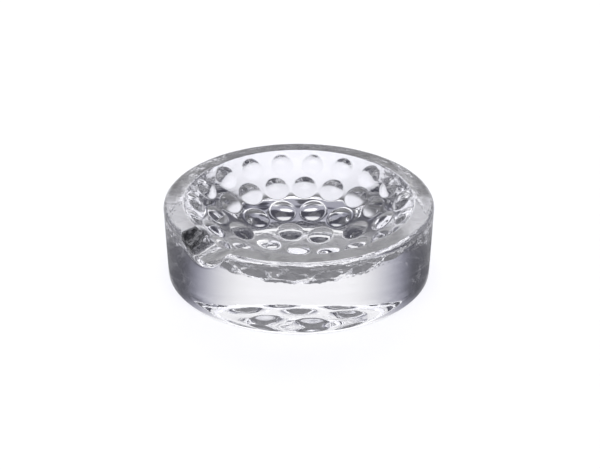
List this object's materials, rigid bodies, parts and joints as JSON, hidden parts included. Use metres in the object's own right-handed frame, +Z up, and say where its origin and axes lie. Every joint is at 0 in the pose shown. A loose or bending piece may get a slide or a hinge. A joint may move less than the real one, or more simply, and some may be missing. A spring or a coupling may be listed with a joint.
{
  "type": "glass ashtray dish",
  "caption": "Heavy clear glass dish, a low cylinder with a round bowl studded with round bosses and one rounded resting groove across its flat rim.",
  "frame": {"origin": "centre of the flat face that the dish stands on", "axes": "+Z up out of the bowl; the resting groove leaves the bowl towards -Y; +X to the right of it"},
  "size_m": [0.1198, 0.1196, 0.0345],
  "materials": {
    "clear_glass": "clear, fire-polished, faint grey tint"
  },
  "bodies": {
    "root": {"glass_dish": "clear_glass"}
  },
  "joints": []
}
